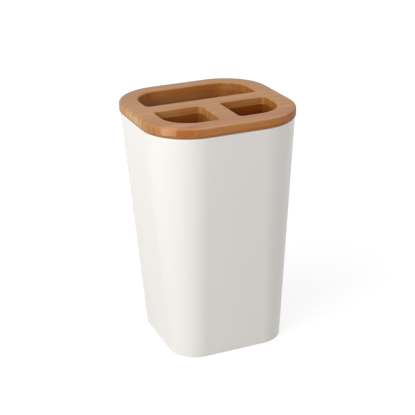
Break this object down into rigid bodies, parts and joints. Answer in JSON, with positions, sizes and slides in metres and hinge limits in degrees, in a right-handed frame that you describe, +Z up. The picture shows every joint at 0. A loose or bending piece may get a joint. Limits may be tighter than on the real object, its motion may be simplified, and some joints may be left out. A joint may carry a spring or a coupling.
{
  "type": "toothbrush holder",
  "caption": "Tapered square tumbler with rounded corners and a lift-off bamboo lid, slotted for toothbrushes and a tube of toothpaste.",
  "frame": {"origin": "middle of the cup's base, in the plane of the surface that it stands on", "axes": "+Z up through the lid, +X along the long slot, -Y the front, on the side of the two small openings"},
  "size_m": [0.075, 0.075, 0.1182],
  "materials": {
    "cup_plastic": "satin moulded white",
    "lid_bamboo": "oiled bamboo strips",
    "lid_bamboo_core": "oiled bamboo strips"
  },
  "bodies": {
    "cup": {"cup": "cup_plastic"},
    "lid": {"lid_top_layer": "lid_bamboo", "lid_lower_layer": "lid_bamboo_core"}
  },
  "joints": [
    {"name": "lid_lift", "type": "slide", "parent": "cup", "child": "lid", "axis": [0, 0, 1], "range_m": [0, 0.03]}
  ]
}
